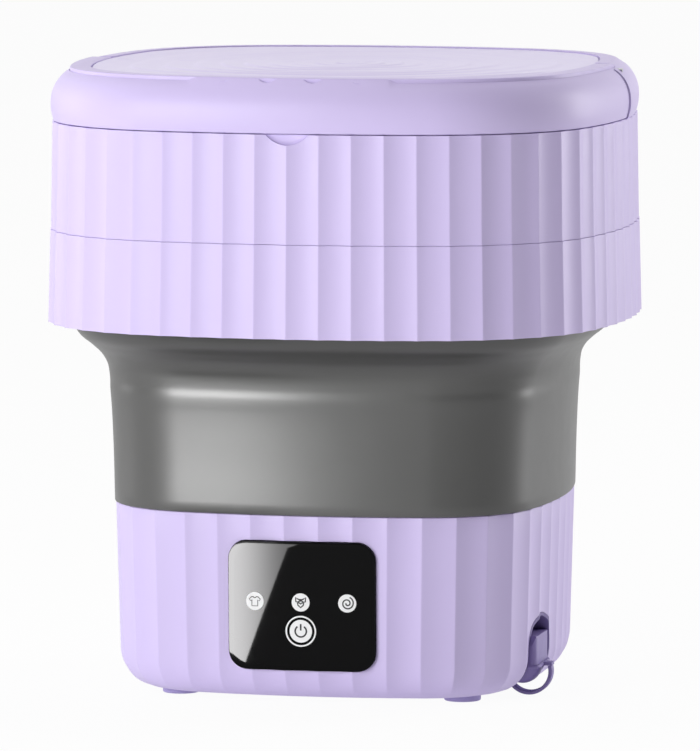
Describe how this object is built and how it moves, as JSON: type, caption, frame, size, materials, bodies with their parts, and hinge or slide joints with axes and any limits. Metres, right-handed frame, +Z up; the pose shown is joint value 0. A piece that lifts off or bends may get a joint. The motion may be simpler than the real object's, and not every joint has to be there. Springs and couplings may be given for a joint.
{
  "type": "folding bucket washer",
  "caption": "Portable folding washer: fluted base with drive and touch panel, soft sleeve, fluted upper ring, lift-off lid with a bail, and a drain stopper.",
  "frame": {"origin": "centre of the box of the whole object at the plane the feet stand on", "axes": "+Z up along the tub, -Y towards the front with the touch panel, +X towards the side with the drain"},
  "size_m": [0.28, 0.28, 0.301],
  "materials": {
    "lilac_shell": "satin moulded, lilac",
    "sleeve_grey": "soft matt grey elastomer",
    "pale_tub": "satin moulded, pale lilac",
    "ripple_top": "smooth moulded, lilac",
    "black_glass": "polished black",
    "white_print": "white print",
    "steel": "brushed",
    "bracket_steel": "satin grey",
    "board_green": "solder mask green",
    "black_rubber": "matt black",
    "jack_black": "black",
    "gear_nylon": "natural nylon",
    "foot_rubber": "soft lilac-grey",
    "seal_rubber": "matt grey",
    "drain_lilac": "soft lilac rubber",
    "drain_inner": "satin lilac"
  },
  "bodies": {
    "base": {"base_shell": "lilac_shell", "bottom_cover": "lilac_shell", "cover_screws": "steel", "foot_pads": "foot_rubber", "tub_floor": "pale_tub", "sleeve": "sleeve_grey", "sleeve_clamp_lower": "steel", "control_panel": "black_glass", "panel_icons": "white_print", "key_ring": "white_print", "key_disc": "white_print", "touch_board": "board_green", "main_board": "board_green", "motor": "steel", "motor_bracket": "bracket_steel", "bracket_screws": "steel", "bearing_lower": "steel", "bearing_upper": "steel", "shaft_seal": "black_rubber", "drain_niche": "drain_inner", "drain_pipe": "drain_inner", "drain_strainer": "steel", "dc_jack": "jack_black", "jack_nut": "steel"},
    "drive": {"drive_gear": "gear_nylon", "drive_shaft": "steel", "pulsator": "pale_tub", "pulsator_cap": "lilac_shell", "spin_basket": "pale_tub", "basket_screws": "steel"},
    "armature": {"motor_shaft": "steel", "pinion": "gear_nylon"},
    "stopper": {"drain_plug": "drain_lilac", "pull_loop": "drain_lilac"},
    "ring": {"upper_shell": "lilac_shell", "skirt_shell": "lilac_shell", "inner_ring": "pale_tub", "sleeve_clamp_upper": "steel", "ring_screws": "steel"},
    "lid": {"lid_shell": "lilac_shell", "lid_disc": "ripple_top", "lid_liner": "pale_tub", "lid_seal": "seal_rubber", "lid_screws": "steel", "side_covers": "lilac_shell", "pivot_pins": "steel"},
    "bail": {"handle_bail": "lilac_shell"}
  },
  "joints": [
    {"name": "fold", "type": "slide", "parent": "base", "child": "ring", "axis": [0, 0, -1], "range_m": [0, 0.098], "deforming": ["sleeve"]},
    {"name": "lid_lift", "type": "slide", "parent": "ring", "child": "lid", "axis": [0, 0, 1], "range_m": [0, 0.12]},
    {"name": "bail_swing", "type": "hinge", "parent": "lid", "child": "bail", "pos_m": [0, 0.008, 0.29765], "axis": [-1, 0, 0], "range_deg": [0, 90]},
    {"name": "drive_spin", "type": "hinge", "parent": "base", "child": "drive", "pos_m": [0, 0, 0.06], "axis": [0, 0, 1], "continuous": true},
    {"name": "motor_spin", "type": "hinge", "parent": "base", "child": "armature", "pos_m": [-0.04, 0, 0.05], "axis": [0, 0, 1], "continuous": true},
    {"name": "stopper_pull", "type": "slide", "parent": "base", "child": "stopper", "axis": [1, 0, 0], "range_m": [0, 0.026]}
  ],
  "couplings": [
    {"joint": "motor_spin", "follows": "drive_spin", "ratio": -4}
  ]
}
